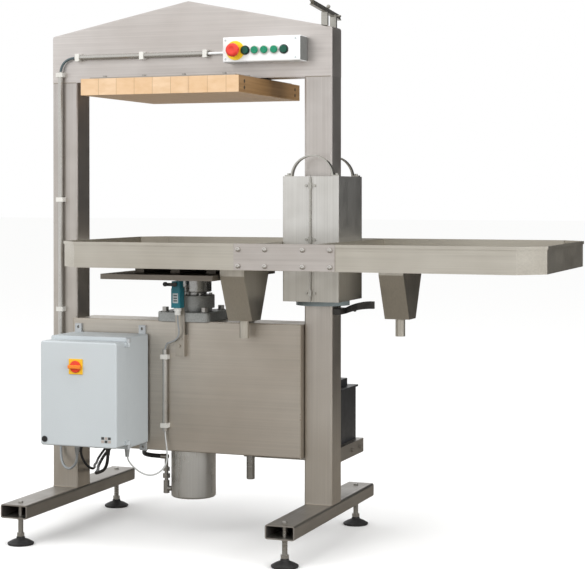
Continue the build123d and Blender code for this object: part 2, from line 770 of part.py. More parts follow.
gear_back = cabinet_back - cabinet_wall
with BuildPart() as control_gear:
    plate_x = (box_x[0] + 15, box_x[1] - 15)
    plate_z = (cabinet_bottom + 20, cabinet_top - 20)
    block(plate_x, (gear_back - 8, gear_back), plate_z)
    for z in (430, 540):
        block((plate_x[0] + 15, plate_x[1] - 15), (gear_back - 15, gear_back - 8), (z - 17, z + 17))
    for x in (-345, -290, -235, -180):
        gear_x = (mid_x + x - 4, mid_x + x + 44)
        block(gear_x, (gear_back - 85, gear_back - 15), (510, 585))
    for x in (-345, -300, -255, -210, -165):
        gear_x = (mid_x + x - 4, mid_x + x + 32)
        block(gear_x, (gear_back - 60, gear_back - 15), (395, 465))
control_gear.part.label = "control_gear"
export_step(control_gear.part, "parts/control_gear.step")

door_back = cabinet_front - move_gap
lock_place = (mid_x - 362, 322)
plate_place = (mid_x + isolator_place[0], isolator_place[1])
isolator_plate = 3
lock_radius = 6
with BuildPart() as cabinet_door:
    block(box_x, (door_front, door_back), (door_bottom, door_top))
    fillet(cabinet_door.edges().filter_by(Axis.Y), radius=8)
    fillet(cabinet_door.faces().sort_by(Axis.Y)[0].edges(), radius=5)
    block(
        (box_x[0] + cabinet_wall, box_x[1] - cabinet_wall),
        (door_front + cabinet_wall, door_back),
        (door_bottom + cabinet_wall, door_top - cabinet_wall),
        Mode.SUBTRACT,
    )
    door_skin = (door_front, door_front + cabinet_wall)
    across(lock_place, lock_radius + turn_fit, door_skin, Mode.SUBTRACT)
    low_z = (hinge_low[1] + move_gap, hinge_low[1] + 12)
    high_z = (hinge_high[0] - 12, hinge_high[0] - move_gap)
    for z in (low_z, high_z):
        block((box_x[1] - 1, hinge_xy[0]), (door_back - 14, door_back), z)
        post(hinge_xy, 5, z)
        post(hinge_xy, hinge_pin + turn_fit, z, Mode.SUBTRACT)
    square = 23
    block(
        (plate_place[0] - square, plate_place[0] + square),
        (door_front - isolator_plate, door_front),
        (plate_place[1] - square, plate_place[1] + square),
    )
    across(plate_place, 6 + turn_fit, (door_front - isolator_plate, door_skin[1]), Mode.SUBTRACT)
cabinet_door.part.label = "cabinet_door"
export_step(cabinet_door.part, "parts/cabinet_door.step")

with BuildPart() as door_lock:
    across(lock_place, lock_radius + 3, (door_front - 3, door_front - move_gap))
    across(lock_place, lock_radius, (door_front - move_gap, door_front + cabinet_wall + 8))
    block(
        (lock_place[0] - 1.5, lock_place[0] + 1.5),
        (door_front - 4.5, door_front - 3),
        (lock_place[1] - 6, lock_place[1] + 6),
    )
door_lock.part.label = "door_lock"
export_step(door_lock.part, "parts/door_lock.step")

knob_back = door_front - isolator_plate - move_gap
with BuildPart() as isolator_knob:
    across(plate_place, 16, (knob_back - 5, knob_back))
    across(plate_place, 6, (knob_back, door_front + cabinet_wall + 12))
    block(
        (plate_place[0] - 21, plate_place[0] + 21),
        (knob_back - 13, knob_back - 5),
        (plate_place[1] - 5, plate_place[1] + 5),
    )
    fillet(isolator_knob.faces().sort_by(Axis.Y)[0].edges(), radius=2)
isolator_knob.part.label = "isolator_knob"
export_step(isolator_knob.part, "parts/isolator_knob.step")

# --- Push-button station ----------------------------------------------------------
button_hole = button_radius + move_gap
estop_hole = 12 + move_gap
with BuildPart() as station_housing:
    station_x = (mid_x + station_left, mid_x + station_right)
    station_z = (station_bottom, station_top)
    block(station_x, (station_front, -column_face), station_z)
    fillet(station_housing.edges().filter_by(Axis.X), radius=5)
    block(
        (station_x[0] + station_wall, station_x[1] - station_wall),
        (station_front + station_wall, -column_face - station_wall),
        (station_z[0] + station_wall, station_z[1] - station_wall),
        Mode.SUBTRACT,
    )
    for x in button_xs:
        bezel_y = (station_front - bezel_thick, station_front)
        across((mid_x + x, button_z), button_radius + 3, bezel_y)
        hole_y = (bezel_y[0], station_front + station_wall)
        across((mid_x + x, button_z), button_hole, hole_y, Mode.SUBTRACT)
    skin = (station_front, station_front + station_wall)
    across((mid_x + estop_x, button_z), estop_hole, skin, Mode.SUBTRACT)
    along((pipe_y, top_pipe_z), 11, (station_x[0] - 18, station_x[0]))
    along((pipe_y, top_pipe_z), 4, (top_pipe_x[1] - 12, station_x[0] - 18))
station_housing.part.label = "station_housing"
export_step(station_housing.part, "parts/station_housing.step")

collar_thick = 4
with BuildPart() as estop_collar:
    collar_y = (station_front - collar_thick, station_front)
    across((mid_x + estop_x, button_z), 29, collar_y)
    across((mid_x + estop_x, button_z), estop_hole, collar_y, Mode.SUBTRACT)
    # The nearest button's bezel bites into the collar.
    bite = button_radius + 3 + move_gap
    across((mid_x + button_xs[0], button_z), bite, collar_y, Mode.SUBTRACT)
estop_collar.part.label = "estop_collar"
export_step(estop_collar.part, "parts/estop_collar.step")

with BuildPart() as estop_button:
    across((mid_x + estop_x, button_z), 12, (station_front - 22, station_front + 12))
    across((mid_x + estop_x, button_z), 21, (station_front - 38, station_front - 20))
    fillet(estop_button.faces().sort_by(Axis.Y)[0].edges(), radius=9)
estop_button.part.label = "estop_button"
export_step(estop_button.part, "parts/estop_button.step")

button_stand = 9
for number, x in enumerate(button_xs, start=1):
    with BuildPart() as push_button:
        button_y = (station_front - button_stand, station_front + 12)
        across((mid_x + x, button_z), button_radius, button_y)
        fillet(push_button.faces().sort_by(Axis.Y)[0].edges(), radius=1.5)
    push_button.part.label = f"push_button_{number}"
    export_step(push_button.part, f"parts/push_button_{number}.step")

# --- Hydraulic power unit on a shelf behind the right column -----------------------
with BuildPart() as unit_shelf:
    shelf_x = (mid_x + unit_left - 10, mid_x + unit_right + 20)
    shelf_y = (beam_face, unit_back + 10)
    block(shelf_x, shelf_y, (shelf_bottom, tank_bottom))
    block(
        (shelf_x[0] + sheet, shelf_x[1] - sheet),
        (shelf_y[0] + sheet, shelf_y[1] - sheet),
        (shelf_bottom, tank_bottom - sheet),
        Mode.SUBTRACT,
    )
    for y in (shelf_y[1] - 40, shelf_y[1] - 120):
        along((y, shelf_bottom + 22), 6, (shelf_x[1], shelf_x[1] + 5))
unit_shelf.part.label = "unit_shelf"
export_step(unit_shelf.part, "parts/unit_shelf.step")

motor_y = (unit_front + unit_back) / 2
motor_z = tank_bottom + 54 + motor_radius
terminal_z = motor_z + motor_radius - 8
unit_port = (unit_front + 25, tank_bottom + 26)
tank_x = (mid_x + tank_left, mid_x + unit_right)
motor_x = (mid_x + unit_left, tank_x[0])
with BuildPart() as power_unit:
    block(tank_x, (unit_front, unit_back), (tank_bottom, tank_top))
    fillet(power_unit.edges().filter_by(Axis.Z), radius=10)
    lid_x = (tank_x[0] - 4, tank_x[1] + 4)
    block(lid_x, (unit_front - 4, unit_back + 4), (tank_top, tank_top + 6))
    valve_y = (motor_y - 45, motor_y + 45)
    block((tank_x[0] + 60, tank_x[1] - 20), valve_y, (tank_top + 6, tank_top + 30))
    post((tank_x[0] + 35, unit_front + 30), 18, (tank_top + 6, tank_top + 37))
    along(unit_port, 11, (tank_x[0] - 14, tank_x[0]))
    along((motor_y, motor_z), motor_radius, (motor_x[0] + 14, motor_x[1]))
    along((motor_y, motor_z), motor_radius - 4, (motor_x[0], motor_x[0] + 14))
    box_y = (motor_y - 30, motor_y + 30)
    block((motor_x[0] + 20, motor_x[0] + 80), box_y, (terminal_z, terminal_z + 34))
    for y in (-26, 26):
        foot_y = (motor_y + y - 8, motor_y + y + 8)
        foot_z = (tank_bottom, motor_z - motor_radius + 12)
        block((motor_x[0] + 25, motor_x[1] - 10), foot_y, foot_z)
power_unit.part.label = "power_unit"
export_step(power_unit.part, "parts/power_unit.step")

# --- Cables and the hydraulic hose: straight runs joined by tangent arcs -----------


def cord(name, points, diameter):
    """Builds one cord along its route and prints how tight and how long it is."""
    stops = [Vector(mid_x + x, y, z) for x, y, z in points]
    radii = []
    for before, corner, after in zip(stops, stops[1:], stops[2:]):
        turn = (corner - before).get_angle(after - corner)
        shorter = min((corner - before).length, (after - corner).length)
        radii.append(0.45 * shorter / tan(radians(turn / 2)))
    with BuildPart() as lead:
        with BuildLine() as route:
            FilletPolyline(*stops, radius=radii)
        with BuildSketch(Plane(stops[0], z_dir=stops[1] - stops[0])):
            Circle(diameter / 2)
        sweep(path=route.wire())
    length = route.wire().length
    whole = length * pi * diameter**2 / 4
    print(name, "length", round(length), "radii", [round(r) for r in radii])
    print(name, "volume over section times length", round(lead.part.volume / whole, 4))
    lead.part.label = name
    export_step(lead.part, f"parts/{name}.step")


cords = {
    "corner_cable": (
        8,
        [
            (-439.5, -56, 1446),
            (-439.5, -56, 1466),
            (-427, -56, 1488),
            (-407, -56, 1499),
            (-388, -56, 1501.5),
            (-374, -56, 1501.5),
        ],
    ),
    "control_cable": (
        8,
        [
            (-439.5, -56, 288),
            (-439.5, -56, 254),
            (-432, -68, 222),
            (-410, -92, 203),
            (-376, -120, 199),
            (-346, -146, 214),
            (-326, -163, 240),
            (-324, -165, 262),
            (-324, -165, 278),
        ],
    ),
    "motor_cable": (
        8,
        [
            (-336, -120, 278),
            (-336, -120, 250),
            (-326, -104, 214),
            (-316, -78, 197),
            (-326, -40, 196),
            (-350, 2, 196),
            (-368, 54, 194),
            (-390, 106, 200),
            (-368, 146, 246),
            (-300, 134, 300),
            (-190, 102, 340),
            (-80, 100, 372),
            (20, 112, 404),
            (84, 146, 430),
            (118, 180, 456),
            (140, 208, 470),
            (170, 208, 470),
        ],
    ),
    "supply_cable": (
        10,
        [
            (-224, -150, 278),
            (-224, -150, 242),
            (-246, -126, 208),
            (-286, -84, 190),
            (-320, -44, 178),
            (-344, 2, 172),
            (-366, 60, 168),
            (-398, 122, 172),
            (-388, 168, 216),
            (-320, 166, 270),
            (-210, 172, 296),
            (-100, 170, 300),
            (10, 172, 316),
            (80, 184, 356),
            (108, 204, 420),
            (132, 228, 464),
            (148, 232, 471),
            (170, 232, 471),
        ],
    ),
    "switch_cable_upper": (
        5,
        [
            (-5, -110, 697),
            (-5, -110, 672),
            (1, -108, 640),
            (-12, -104, 618),
            (-36, -97, 609),
            (-55, -89, 600),
            (-59, -86, 586),
            (-59, -86, 574),
        ],
    ),
    "switch_cable_lower": (
        5,
        [
            (-59, -86, 345),
            (-59, -86, 320),
            (-46, -98, 272),
            (-42, -108, 236),
            (-60, -118, 208),
            (-92, -128, 196),
            (-126, -138, 210),
            (-154, -149, 240),
            (-158, -150, 262),
            (-158, -150, 278),
        ],
    ),
    "hydraulic_hose": (
        14,
        [
            (-107, -10, 240),
            (-157, -10, 240),
            (-184, 34, 234),
            (-188, 82, 240),
            (-182, 118, 274),
            (-160, 132, 318),
            (-112, 140, 356),
            (-60, 142, 368),
            (30, 144, 366),
            (110, 148, 346),
            (170, 157, 322),
            (210, 165, 310),
            (236, 165, 310),
        ],
    ),
}
for name, (diameter, points) in cords.items():
    cord(name, points, diameter)
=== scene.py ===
import math

import bmesh
import bpy
from mathutils import Matrix, Vector


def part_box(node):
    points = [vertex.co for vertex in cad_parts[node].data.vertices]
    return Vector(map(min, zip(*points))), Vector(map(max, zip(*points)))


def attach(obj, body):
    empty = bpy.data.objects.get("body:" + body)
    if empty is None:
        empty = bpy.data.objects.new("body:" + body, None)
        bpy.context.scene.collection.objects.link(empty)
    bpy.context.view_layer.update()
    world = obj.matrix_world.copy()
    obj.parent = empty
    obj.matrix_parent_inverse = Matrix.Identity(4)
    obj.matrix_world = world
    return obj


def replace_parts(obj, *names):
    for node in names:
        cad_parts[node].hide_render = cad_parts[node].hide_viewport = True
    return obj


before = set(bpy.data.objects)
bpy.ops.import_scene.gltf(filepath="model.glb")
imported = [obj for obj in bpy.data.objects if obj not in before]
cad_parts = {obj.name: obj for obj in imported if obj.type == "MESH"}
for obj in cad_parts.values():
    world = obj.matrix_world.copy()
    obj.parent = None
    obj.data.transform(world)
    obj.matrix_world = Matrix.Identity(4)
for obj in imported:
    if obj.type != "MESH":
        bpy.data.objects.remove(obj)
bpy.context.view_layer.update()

# --- Camera ------------------------------------------------------------------------
# A long lens at chest height, a step to the right of the machine and almost level.
camera_place = (1.7264, -4.7103, 1.0689)
camera_turn = math.radians(20.966)
camera_tilt = math.radians(90 - 0.5515)
lens_data = bpy.data.cameras.new("camera")
lens_data.lens = 100.84
lens_data.sensor_width = 36
lens_data.shift_x = 0.0311
lens_data.shift_y = -0.1283
camera = bpy.data.objects.new("camera", lens_data)
camera.location = camera_place
camera.rotation_euler = (camera_tilt, 0, camera_turn)
bpy.context.collection.objects.link(camera)
bpy.context.scene.camera = camera
bpy.context.scene.view_settings.view_transform = "Standard"


# --- Studio ------------------------------------------------------------------------
# A white room with one large soft light in front on the left, and weaker ones above
# and on the right. A dark card stands behind and a brown one lies below, unseen.
def flat_colour(name, colour, rough=1.0):
    """A plain surface for the room."""
    paint = bpy.data.materials.new(name)
    paint.use_nodes = True
    shader = paint.node_tree.nodes["Principled BSDF"]
    shader.inputs["Base Color"].default_value = (*colour, 1)
    shader.inputs["Roughness"].default_value = rough
    shader.inputs["Specular IOR Level"].default_value = 0
    return paint


def room_card(name, corners, paint):
    """One flat four-cornered piece of the room."""
    data = bpy.data.meshes.new(name)
    data.from_pydata(corners, [], [tuple(range(len(corners)))])
    data.materials.append(paint)
    card = bpy.data.objects.new(name, data)
    bpy.context.collection.objects.link(card)
    return card


room = bpy.data.worlds.new("room")
room.use_nodes = True
room.node_tree.nodes["Background"].inputs["Color"].default_value = (1, 1, 1, 1)
room.node_tree.nodes["Background"].inputs["Strength"].default_value = 1.0
bpy.context.scene.world = room

floor_reach = 60
floor_corners = [
    (-floor_reach, -floor_reach, 0),
    (floor_reach, -floor_reach, 0),
    (floor_reach, floor_reach, 0),
    (-floor_reach, floor_reach, 0),
]
floor = room_card("floor", floor_corners, flat_colour("floor_paint", (0.97, 0.97, 0.965)))
floor.visible_glossy = False
floor.visible_diffuse = False
brown_corners = [(4 * x / floor_reach, 4.5 * y / floor_reach, -0.01) for x, y, z in floor_corners]
brown = room_card("brown_card", brown_corners, flat_colour("brown_card", (0.34, 0.31, 0.27)))
brown.visible_camera = False
dark_corners = [(-0.5, 3.0, 0), (6.0, 1.2, 0), (6.0, 1.2, 4.5), (-0.5, 3.0, 4.5)]
dark = room_card("dark_card", dark_corners, flat_colour("dark_card", (0.02, 0.02, 0.02)))
dark.visible_camera = False
dark.visible_shadow = False
dark.visible_diffuse = False

for name, place, size, power in (
    ("front_light", (-2.4, -4.2, 3.2), 3.2, 120),
    ("top_light", (0.2, -0.6, 4.2), 2.5, 45),
    ("side_light", (2.8, -1.5, 1.1), 2.0, 60),
):
    light_data = bpy.data.lights.new(name, "AREA")
    light_data.size = size
    light_data.energy = power
    light = bpy.data.objects.new(name, light_data)
    light.location = place
    aim = Vector((-0.2, 0, 0.9)) - Vector(place)
    light.rotation_euler = aim.to_track_quat("-Z", "Y").to_euler()
    light.visible_glossy = False
    bpy.context.collection.objects.link(light)


def finish_of(name, metal=0.0, rough=0.5):
    """A new material, its node tree and its shader."""
    made = bpy.data.materials.new(name)
    made.use_nodes = True
    shader = made.node_tree.nodes["Principled BSDF"]
    shader.inputs["Metallic"].default_value = metal
    shader.inputs["Roughness"].default_value = rough
    return made, made.node_tree, shader


def cloud(tree, scale, stretch=(1, 1, 1), detail=4.0, start=(0, 0, 0)):
    """Noise on the piece's own coordinates, stretched along an axis."""
    place = tree.nodes.new("ShaderNodeTexCoord")
    turn = tree.nodes.new("ShaderNodeMapping")
    turn.inputs["Scale"].default_value = stretch
    turn.inputs["Location"].default_value = start
    grain = tree.nodes.new("ShaderNodeTexNoise")
    grain.inputs["Scale"].default_value = scale
    grain.inputs["Detail"].default_value = detail
    tree.links.new(place.outputs["Object"], turn.inputs["Vector"])
    tree.links.new(turn.outputs["Vector"], grain.inputs["Vector"])
    return grain.outputs["Fac"]


def height_share(tree, low, high):
    """0 below the low height and 1 above the high one."""
    place = tree.nodes.new("ShaderNodeTexCoord")
    split = tree.nodes.new("ShaderNodeSeparateXYZ")
    share = tree.nodes.new("ShaderNodeMapRange")
    share.inputs["From Min"].default_value = low
    share.inputs["From Max"].default_value = high
    tree.links.new(place.outputs["Object"], split.inputs["Vector"])
    tree.links.new(split.outputs["Z"], share.inputs["Value"])
    return share.outputs["Result"]


def spread(tree, value, low, high, start=0.3, end=0.7):
    """Spreads the middle of a noise between two numbers."""
    step = tree.nodes.new("ShaderNodeMapRange")
    step.inputs["From Min"].default_value = start
    step.inputs["From Max"].default_value = end
    step.inputs["To Min"].default_value = low
    step.inputs["To Max"].default_value = high
    tree.links.new(value, step.inputs["Value"])
    return step.outputs["Result"]


def mixed(tree, share, first, second, way="MIX"):
    """Mixes two colours, each a colour or a socket, by a number or a socket."""
    mix = tree.nodes.new("ShaderNodeMix")
    mix.data_type = "RGBA"
    mix.blend_type = way
    for socket, value in zip((mix.inputs[0], mix.inputs[6], mix.inputs[7]), (share, first, second)):
        if hasattr(value, "is_linked"):
            tree.links.new(value, socket)
        elif isinstance(value, tuple):
            socket.default_value = (*value, 1)
        else:
            socket.default_value = value
    return mix.outputs[2]


def raised(tree, shader, height, deep, strength=1.0):
    """Turns a height into a bump, deep metres from low to high."""
    bump = tree.nodes.new("ShaderNodeBump")
    bump.inputs["Strength"].default_value = strength
    bump.inputs["Distance"].default_value = deep
    tree.links.new(height, bump.inputs["Height"])
    tree.links.new(bump.outputs["Normal"], shader.inputs["Normal"])


def brushed(
    name,
    tone,
    grain,
    rough=0.38,
    low_tone=None,
    span=(0.2, 1.35),
    blotch=0.07,
    metal=0.92,
):
    """Brushed stainless steel: fine lines along one axis, soft blotches and handling
    marks, and a warmer, darker tone low down where a low tone is given."""
    steel, tree, shader = finish_of(name, metal=metal)
    lines = {"x": (2, 260, 260), "y": (260, 2, 260), "z": (260, 260, 2)}[grain]
    fine = cloud(tree, 1.0, lines, 5.0)
    wide = cloud(tree, 2.6, (1, 1, 1), 3.0, (3, 1, 7))
    marks = cloud(tree, 14.0, (1, 1, 1.6), 6.0, (9, 4, 2))
    colour = tone
    if low_tone:
        colour = mixed(tree, height_share(tree, *span), low_tone, tone)
    dull = tuple(1 - blotch * (2.2 + k * 0.25) for k in range(3))
    colour = mixed(tree, spread(tree, wide, 0, 1), colour, mixed(tree, 1.0, colour, dull, "MULTIPLY"))
    colour = mixed(tree, spread(tree, fine, 0.0, 0.16), colour, (0.3, 0.29, 0.27))
    tree.links.new(colour, shader.inputs["Base Color"])
    gloss = tree.nodes.new("ShaderNodeMath")
    tree.links.new(spread(tree, fine, -0.05, 0.07), gloss.inputs[0])
    tree.links.new(spread(tree, marks, rough - 0.05, rough + 0.07), gloss.inputs[1])
    tree.links.new(gloss.outputs[0], shader.inputs["Roughness"])
    raised(tree, shader, fine, 0.00006)
    return steel


def dress(finish, *names):
    """Gives CAD nodes one finish."""
    for name in names:
        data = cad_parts[name].data
        data.materials.clear()
        data.materials.append(finish)


column_tone = (0.63, 0.595, 0.57)
low_tone = (0.58, 0.54, 0.48)
dress(brushed("column_steel", column_tone, "z", low_tone=low_tone), "left_column", "right_column")
dress(brushed("gable_steel", (0.72, 0.68, 0.655), "x"), "crown_gable")
dress(brushed("beam_steel", (0.62, 0.575, 0.51), "x", rough=0.42, blotch=0.1), "crossbeam")
dress(brushed("rail_steel", (0.42, 0.4, 0.37), "y", rough=0.4), "left_foot_rail", "right_foot_rail")


def lathed(name, profile, steps=28):
    """A mesh turned about +Z from (radius, height) points, closed at both ends."""
    shape = bmesh.new()
    rings = []
    for radius, height in profile:
        ring = []
        for step in range(steps):
            angle = 2 * math.pi * step / steps
            ring.append(shape.verts.new((radius * math.cos(angle), radius * math.sin(angle), height)))
        rings.append(ring)
    for lower, upper in zip(rings, rings[1:]):
        for step in range(steps):
            after = (step + 1) % steps
            shape.faces.new((lower[step], lower[after], upper[after], upper[step]))
    shape.faces.new(rings[0][::-1])
    shape.faces.new(rings[-1])
    bmesh.ops.remove_doubles(shape, verts=shape.verts, dist=1e-6)
    bmesh.ops.recalc_face_normals(shape, faces=shape.faces)
    data = bpy.data.meshes.new(name)
    shape.to_mesh(data)
    shape.free()
    for face in data.polygons:
        face.use_smooth = True
    data.set_sharp_from_angle(angle=math.radians(35))
    return data


def shown(name, data, finish, body, place=None):
    """Puts a mesh in the scene with its finish, fixed to a body of the machine."""
    if place:
        data.transform(place)
    data.materials.clear()
    data.materials.append(finish)
    piece = bpy.data.objects.new(name, data)
    bpy.context.collection.objects.link(piece)
    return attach(piece, body)


def socket_in(tree, name, kind):
    """Adds one named input to a node tree and returns its identifier."""
    return tree.interface.new_socket(name, in_out="INPUT", socket_type=kind).identifier


def set_out(name, pattern, spots, finish, body, turn=(0, 0, 0), pitch=None):
    """Repeats a pattern mesh at the spots or, where a pitch is given, along the line
    through each pair of spots. The node tree's result is kept as a plain mesh."""
    edges = [(k, k + 1) for k in range(0, len(spots), 2)] if pitch else []
    base = bpy.data.meshes.new(name)
    base.from_pydata(spots, edges, [])
    piece = bpy.data.objects.new(name, base)
    bpy.context.collection.objects.link(piece)
    sample = bpy.data.objects.new(name + "_pattern", pattern)
    bpy.context.collection.objects.link(sample)
    tree = bpy.data.node_groups.new(name, "GeometryNodeTree")
    socket_in(tree, "Geometry", "NodeSocketGeometry")
    sample_input = socket_in(tree, "Pattern", "NodeSocketObject")
    turn_input = socket_in(tree, "Turn", "NodeSocketVector")
    pitch_input = socket_in(tree, "Pitch", "NodeSocketFloat")
    finish_input = socket_in(tree, "Finish", "NodeSocketMaterial")
    tree.interface.new_socket("Geometry", in_out="OUTPUT", socket_type="NodeSocketGeometry")
    given = tree.nodes.new("NodeGroupInput")
    held = tree.nodes.new("GeometryNodeObjectInfo")
    euler = tree.nodes.new("FunctionNodeEulerToRotation")
    place = tree.nodes.new("GeometryNodeInstanceOnPoints")
    real = tree.nodes.new("GeometryNodeRealizeInstances")
    coat = tree.nodes.new("GeometryNodeSetMaterial")
    result = tree.nodes.new("NodeGroupOutput")
    points = given.outputs["Geometry"]
    if pitch:
        curve = tree.nodes.new("GeometryNodeMeshToCurve")
        divide = tree.nodes.new("GeometryNodeResampleCurve")
        divide.mode = "LENGTH"
        tree.links.new(points, curve.inputs["Mesh"])
        tree.links.new(curve.outputs["Curve"], divide.inputs["Curve"])
        tree.links.new(given.outputs["Pitch"], divide.inputs["Length"])
        points = divide.outputs["Curve"]
    tree.links.new(given.outputs["Pattern"], held.inputs["Object"])
    tree.links.new(given.outputs["Turn"], euler.inputs["Euler"])
    tree.links.new(points, place.inputs["Points"])
    tree.links.new(held.outputs["Geometry"], place.inputs["Instance"])
    tree.links.new(euler.outputs["Rotation"], place.inputs["Rotation"])
    tree.links.new(place.outputs["Instances"], real.inputs["Geometry"])
    tree.links.new(real.outputs["Geometry"], coat.inputs["Geometry"])
    tree.links.new(given.outputs["Finish"], coat.inputs["Material"])
    tree.links.new(coat.outputs["Geometry"], result.inputs["Geometry"])
    maker = piece.modifiers.new("set_out", "NODES")
    maker.node_group = tree
    maker[sample_input] = sample
    maker[turn_input] = turn
    maker[pitch_input] = pitch or 0.01
    maker[finish_input] = finish
    scene_now = bpy.context.evaluated_depsgraph_get()
    made = bpy.data.meshes.new_from_object(piece.evaluated_get(scene_now))
    piece.modifiers.clear()
    piece.data = made
    if not made.materials:
        made.materials.append(finish)
    bpy.data.objects.remove(sample)
    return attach(piece, body)


to_front = (math.pi / 2, 0, 0)
to_right = (0, math.pi / 2, 0)
to_back = (-math.pi / 2, 0, 0)
upright = (0, 0, 0)

# Weld beads: a ripple every 2.4 mm along the seams of the frame.
beam_low, beam_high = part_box("crossbeam")
rail_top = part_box("left_foot_rail")[1].z
bead_steel = brushed("bead_steel", (0.5, 0.45, 0.38), "x", rough=0.3)
ripple_profile = [(0.0001, -0.0014), (0.0019, -0.0007), (0.0022, 0), (0.0019, 0.0007), (0.0001, 0.0014)]
ripple = lathed("ripple", ripple_profile, 10)
seam_y = beam_low.y + 0.0008
seams = [
    (beam_low.x + 0.001, seam_y, beam_low.z),
    (beam_low.x + 0.001, seam_y, beam_high.z),
    (beam_high.x - 0.001, seam_y, beam_low.z),
    (beam_high.x - 0.001, seam_y, beam_high.z),
    (beam_low.x, seam_y + 0.001, beam_high.z - 0.0005),
    (beam_high.x, seam_y + 0.001, beam_high.z - 0.0005),
]
for side in ("left_column", "right_column"):
    low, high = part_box(side)
    foot = rail_top + 0.0008
    seams += [(low.x + 0.004, low.y, foot), (high.x - 0.004, low.y, foot)]
    seams += [(low.x + 0.004, high.y, foot), (high.x - 0.004, high.y, foot)]
set_out("seam_welds", ripple, seams, bead_steel, "frame", to_front, 0.0024)
ground_profile = [(0.0001, -0.0005), (0.0014, -0.0002), (0.0016, 0), (0.0014, 0.0002), (0.0001, 0.0005)]
ground_bead = lathed("ground_bead", ground_profile, 10)
seams = []
for side in ("left_column", "right_column"):
    low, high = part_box(side)
    seams += [(low.x + 0.006, low.y, high.z), (high.x - 0.006, low.y, high.z)]
set_out("ground_welds", ground_bead, seams, bead_steel, "frame", to_front, 0.002)

# --- Feet --------------------------------------------------------------------------
# Moulded black rubber pads under zinc-bright steel screws.
rubber, tree, shader = finish_of("pad_rubber", rough=0.62)
rubber_bloom = spread(tree, cloud(tree, 60, (1, 1, 1), 5.0), 0, 1)
pad_colour = mixed(tree, rubber_bloom, (0.012, 0.012, 0.013), (0.035, 0.034, 0.034))
tree.links.new(pad_colour, shader.inputs["Base Color"])
raised(tree, shader, cloud(tree, 500, (1, 1, 1), 3.0), 0.0001)
dress(rubber, "foot_pads")
screw_steel = brushed("screw_steel", (0.5, 0.49, 0.46), "x", rough=0.3)
thread_profile = [(0.0066, -0.0007), (0.0081, -0.0002), (0.0081, 0.0002), (0.0066, 0.0007)]
thread_ridge = lathed("thread_ridge", thread_profile, 20)
thread_low = 0.038
thread_high = 0.0755
for corner in ("front_left", "front_right", "rear_left", "rear_right"):
    dress(screw_steel, f"foot_stem_{corner}")
    low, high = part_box(f"foot_stem_{corner}")
    axis = (low + high) / 2
    thread = [(axis.x, axis.y, thread_low), (axis.x, axis.y, thread_high)]
    rider = f"foot_{corner}"
    set_out(f"thread_{corner}", thread_ridge, thread, screw_steel, rider, upright, 0.0019)

# --- Board -------------------------------------------------------------------------
# Glued beech staves with their end grain to the front. Each stave has its own tone
# and rings, and the long grain runs front to back on the side and below. The underside
# has a lighter flat tone than the side: painted light.
board_low, board_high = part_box("top_board")
stave_wide = 0.06
wood, tree, shader = finish_of("board_wood", rough=0.5)
stave = tree.nodes.new("ShaderNodeTexCoord")
parts = tree.nodes.new("ShaderNodeSeparateXYZ")
tree.links.new(stave.outputs["Object"], parts.inputs["Vector"])
count = tree.nodes.new("ShaderNodeMath")
count.operation = "MULTIPLY_ADD"
count.inputs[1].default_value = 1 / stave_wide
count.inputs[2].default_value = -board_low.x / stave_wide
tree.links.new(parts.outputs["X"], count.inputs[0])
whole = tree.nodes.new("ShaderNodeMath")
whole.operation = "FLOOR"
tree.links.new(count.outputs[0], whole.inputs[0])
tone = tree.nodes.new("ShaderNodeTexWhiteNoise")
tone.noise_dimensions = "1D"
tree.links.new(whole.outputs[0], tone.inputs["W"])
long_grain = cloud(tree, 1.0, (150, 3, 150), 6.0)
rings = cloud(tree, 1.0, (28, 1.2, 60), 3.0, (1, 2, 3))
side_wood = mixed(tree, spread(tree, long_grain, 0, 1), (0.2, 0.11, 0.042), (0.28, 0.165, 0.07))
end_wood = mixed(tree, spread(tree, rings, 0, 1), (0.61, 0.42, 0.25), (0.7, 0.51, 0.335))
end_wood = mixed(tree, spread(tree, tone.outputs["Value"], 0, 0.4, 0, 1), end_wood, (0.61, 0.38, 0.19))
near_glue = tree.nodes.new("ShaderNodeMath")
near_glue.operation = "PINGPONG"
near_glue.inputs[1].default_value = 0.5
tree.links.new(count.outputs[0], near_glue.inputs[0])
end_wood = mixed(tree, spread(tree, near_glue.outputs[0], 1, 0, 0, 0.014), end_wood, (0.2, 0.11, 0.05))
facing = tree.nodes.new("ShaderNodeNewGeometry")
normal = tree.nodes.new("ShaderNodeSeparateXYZ")
tree.links.new(facing.outputs["True Normal"], normal.inputs["Vector"])
ends = tree.nodes.new("ShaderNodeMath")
ends.operation = "ABSOLUTE"
tree.links.new(normal.outputs["Y"], ends.inputs[0])
# Faces turned down take a lighter flat tone in place of the side's long grain: painted light on the
# underside.
below = spread(tree, normal.outputs["Z"], 1, 0, -0.9, -0.6)
side_wood = mixed(tree, below, side_wood, (0.62, 0.4, 0.2))
board_colour = mixed(tree, spread(tree, ends.outputs[0], 0, 1, 0.4, 0.6), side_wood, end_wood)
tree.links.new(board_colour, shader.inputs["Base Color"])
raised(tree, shader, long_grain, 0.0002)
dress(wood, "top_board")
dress(brushed("plate_steel", (0.5, 0.48, 0.45), "x"), "board_plate")
# The screw recesses on the board's right side are drawn as flat near-black discs: painted shade in the
# recesses.
painted_recess_shade, tree, shader = finish_of("painted_recess_shade", rough=0.6)
recess_shade_colour = mixed(tree, cloud(tree, 300), (0.02, 0.014, 0.01), (0.06, 0.045, 0.03))
tree.links.new(recess_shade_colour, shader.inputs["Base Color"])
recess_shade_disc = lathed("recess_shade_disc", [(0.0055, -0.001), (0.0055, 0.0003), (0.0045, 0.0006), (0.001, 0.0006)], 20)
recess_shade_spots = []
for depth in (board_low.y + 0.045, board_high.y - 0.045):
    for height in (board_low.z + 0.015, board_high.z - 0.016):
        recess_shade_spots.append((board_high.x, depth, height))
set_out("board_dowels", recess_shade_disc, recess_shade_spots, painted_recess_shade, "frame", to_right)

